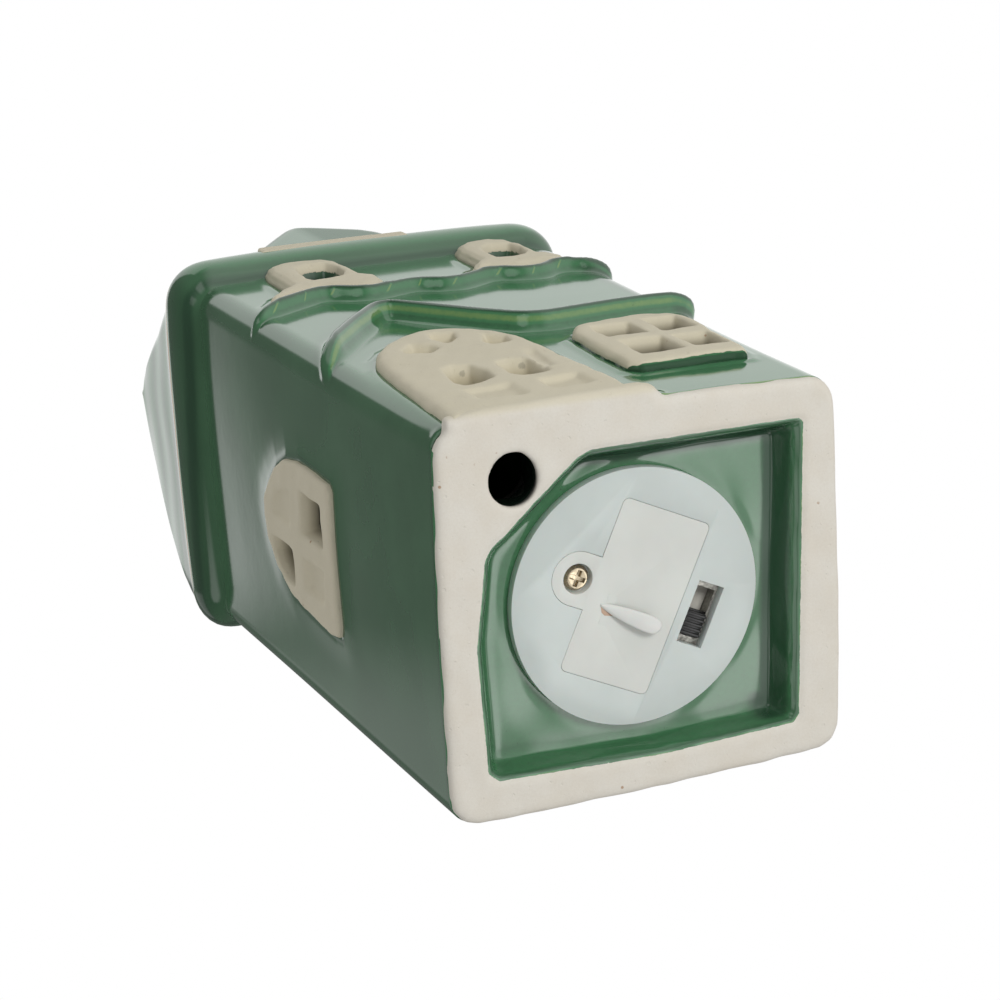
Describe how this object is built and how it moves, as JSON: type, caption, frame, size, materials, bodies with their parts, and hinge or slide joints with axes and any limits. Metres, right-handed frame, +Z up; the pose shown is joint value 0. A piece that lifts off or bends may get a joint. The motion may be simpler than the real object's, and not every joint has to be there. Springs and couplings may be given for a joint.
{
  "type": "ceramic christmas village house",
  "caption": "Glazed ceramic village house with bare clay door and windows, hollow and lit from below by a battery light unit seated in its foot.",
  "frame": {"origin": "centre of the foot's underside, on the table", "axes": "+Z up through the roof, -Y out of the front wall with the door, +X to the right seen from the front"},
  "size_m": [0.0698, 0.0638, 0.142],
  "materials": {
    "green_glaze": "gloss",
    "white_plastic": "satin",
    "white_film": "satin",
    "nickel": "satin",
    "cell_steel": "satin",
    "board_green": "satin",
    "resistor_tan": "satin",
    "led_lens": "gloss",
    "switch_board": "satin",
    "spring_brass": "satin",
    "black_plastic": "satin"
  },
  "bodies": {
    "house": {"house_shell": "green_glaze"},
    "light_unit": {"light_base": "white_plastic", "light_cap": "white_plastic", "cell_front": "cell_steel", "cell_back": "cell_steel", "contact_positive": "nickel", "contact_negative": "nickel", "circuit_board": "board_green", "board_screws": "nickel", "resistor": "resistor_tan", "led": "led_lens", "led_legs": "nickel", "switch_case": "nickel", "switch_base": "switch_board", "switch_pins": "nickel"},
    "battery_door": {"battery_cover": "white_plastic", "contact_bridge": "nickel", "pull_tab": "white_film"},
    "screw": {"cover_screw": "nickel"},
    "slider": {"switch_slider": "black_plastic", "switch_wiper": "spring_brass"}
  },
  "joints": [
    {"name": "light_unit_pull", "type": "slide", "parent": "house", "child": "light_unit", "axis": [0, 0, -1], "range_m": [0, 0.028]},
    {"name": "battery_cover_lift", "type": "slide", "parent": "light_unit", "child": "battery_door", "axis": [0, 0, -1], "range_m": [0, 0.012]},
    {"name": "cover_screw_turn", "type": "hinge", "parent": "battery_door", "child": "screw", "pos_m": [-0.0087, -0.00276, 0.0038], "axis": [0, 0, 1], "continuous": true},
    {"name": "switch_slide", "type": "slide", "parent": "light_unit", "child": "slider", "axis": [0.4226, -0.9063, 0], "range_m": [0, 0.0036]}
  ]
}
